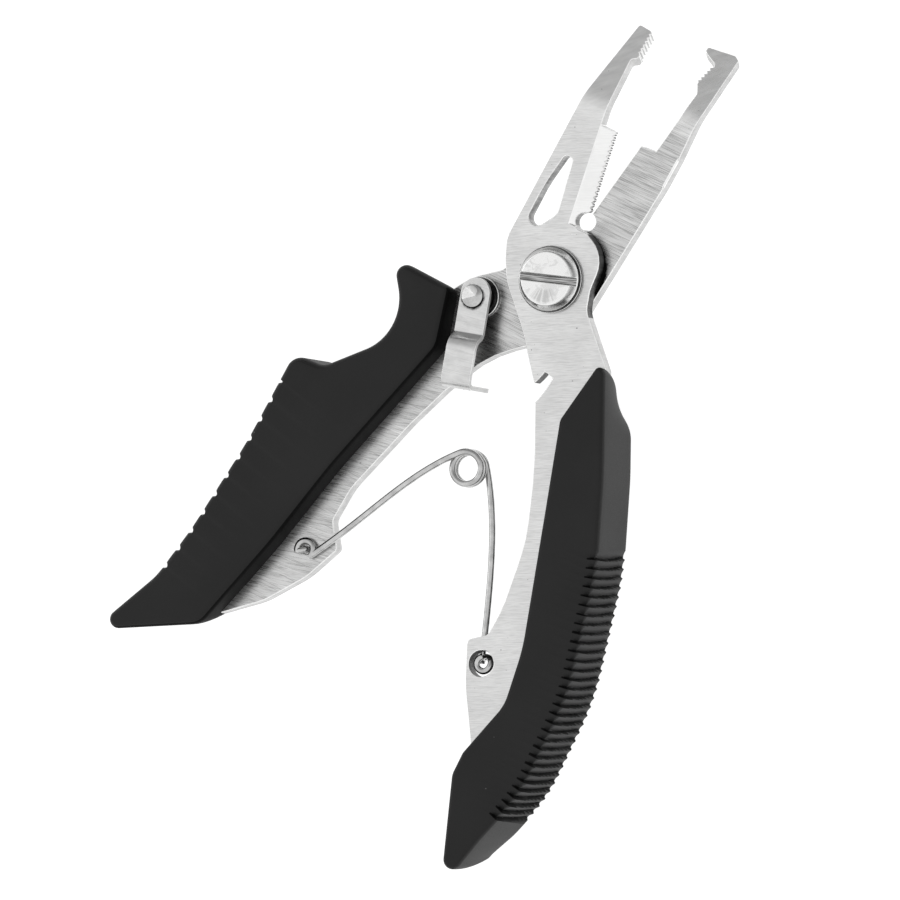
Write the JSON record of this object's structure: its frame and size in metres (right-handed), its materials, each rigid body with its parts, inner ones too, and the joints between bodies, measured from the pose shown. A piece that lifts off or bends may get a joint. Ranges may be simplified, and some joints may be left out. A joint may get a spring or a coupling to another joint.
{
  "type": "fishing pliers",
  "caption": "Compact stainless fishing pliers with bent split-ring jaw, serrated cutter, black rubber grips, opening spring and a swinging lock lever.",
  "frame": {"origin": "centre of the bounding box in plan, on the plane the grips rest on, jaws open", "axes": "+Y along the tool towards the jaw tips, +Z out of the front face, away from the surface it lies on"},
  "size_m": [0.0716, 0.1264, 0.013],
  "materials": {
    "steel": "brushed stainless sheet",
    "polished": "polished stainless",
    "wire": "bright spring wire",
    "rubber": "matte moulded rubber"
  },
  "bodies": {
    "front_half": {"front_plate": "steel", "right_grip": "rubber", "pivot_screw": "polished", "pivot_barrel_nut": "polished", "pivot_washer": "polished"},
    "rear_half": {"rear_plate": "steel", "left_grip": "rubber", "latch_rivet": "polished", "latch_flat_washer": "polished", "latch_spring_washer": "polished"},
    "latch": {"latch_lever": "steel"},
    "spring_right": {"spring_right_leg": "wire"},
    "spring_left": {"spring_left_leg": "wire"}
  },
  "joints": [
    {"name": "jaw_pivot", "type": "hinge", "parent": "front_half", "child": "rear_half", "pos_m": [0.00097, 0.02086, 0.00735], "axis": [0, 0, 1], "range_deg": [0, 16], "stiffness_Nm_per_rad": 0.8},
    {"name": "latch_hinge", "type": "hinge", "parent": "rear_half", "child": "latch", "pos_m": [-0.00855, 0.01281, 0.01045], "axis": [0, 0, 1], "range_deg": [0, 33.6]},
    {"name": "spring_right_pin", "type": "hinge", "parent": "front_half", "child": "spring_right", "pos_m": [0.01987, -0.03455, 0.00735], "axis": [0, 0, 1], "range_deg": [-10.69, 0]},
    {"name": "spring_coil", "type": "hinge", "parent": "spring_right", "child": "spring_left", "pos_m": [0.0025, -0.01043, 0.00735], "axis": [0, 0, 1], "range_deg": [0, 34.76]}
  ],
  "couplings": [
    {"joint": "spring_right_pin", "follows": "jaw_pivot", "ratio": -0.6554},
    {"joint": "spring_coil", "follows": "jaw_pivot", "ratio": 2.1602}
  ]
}
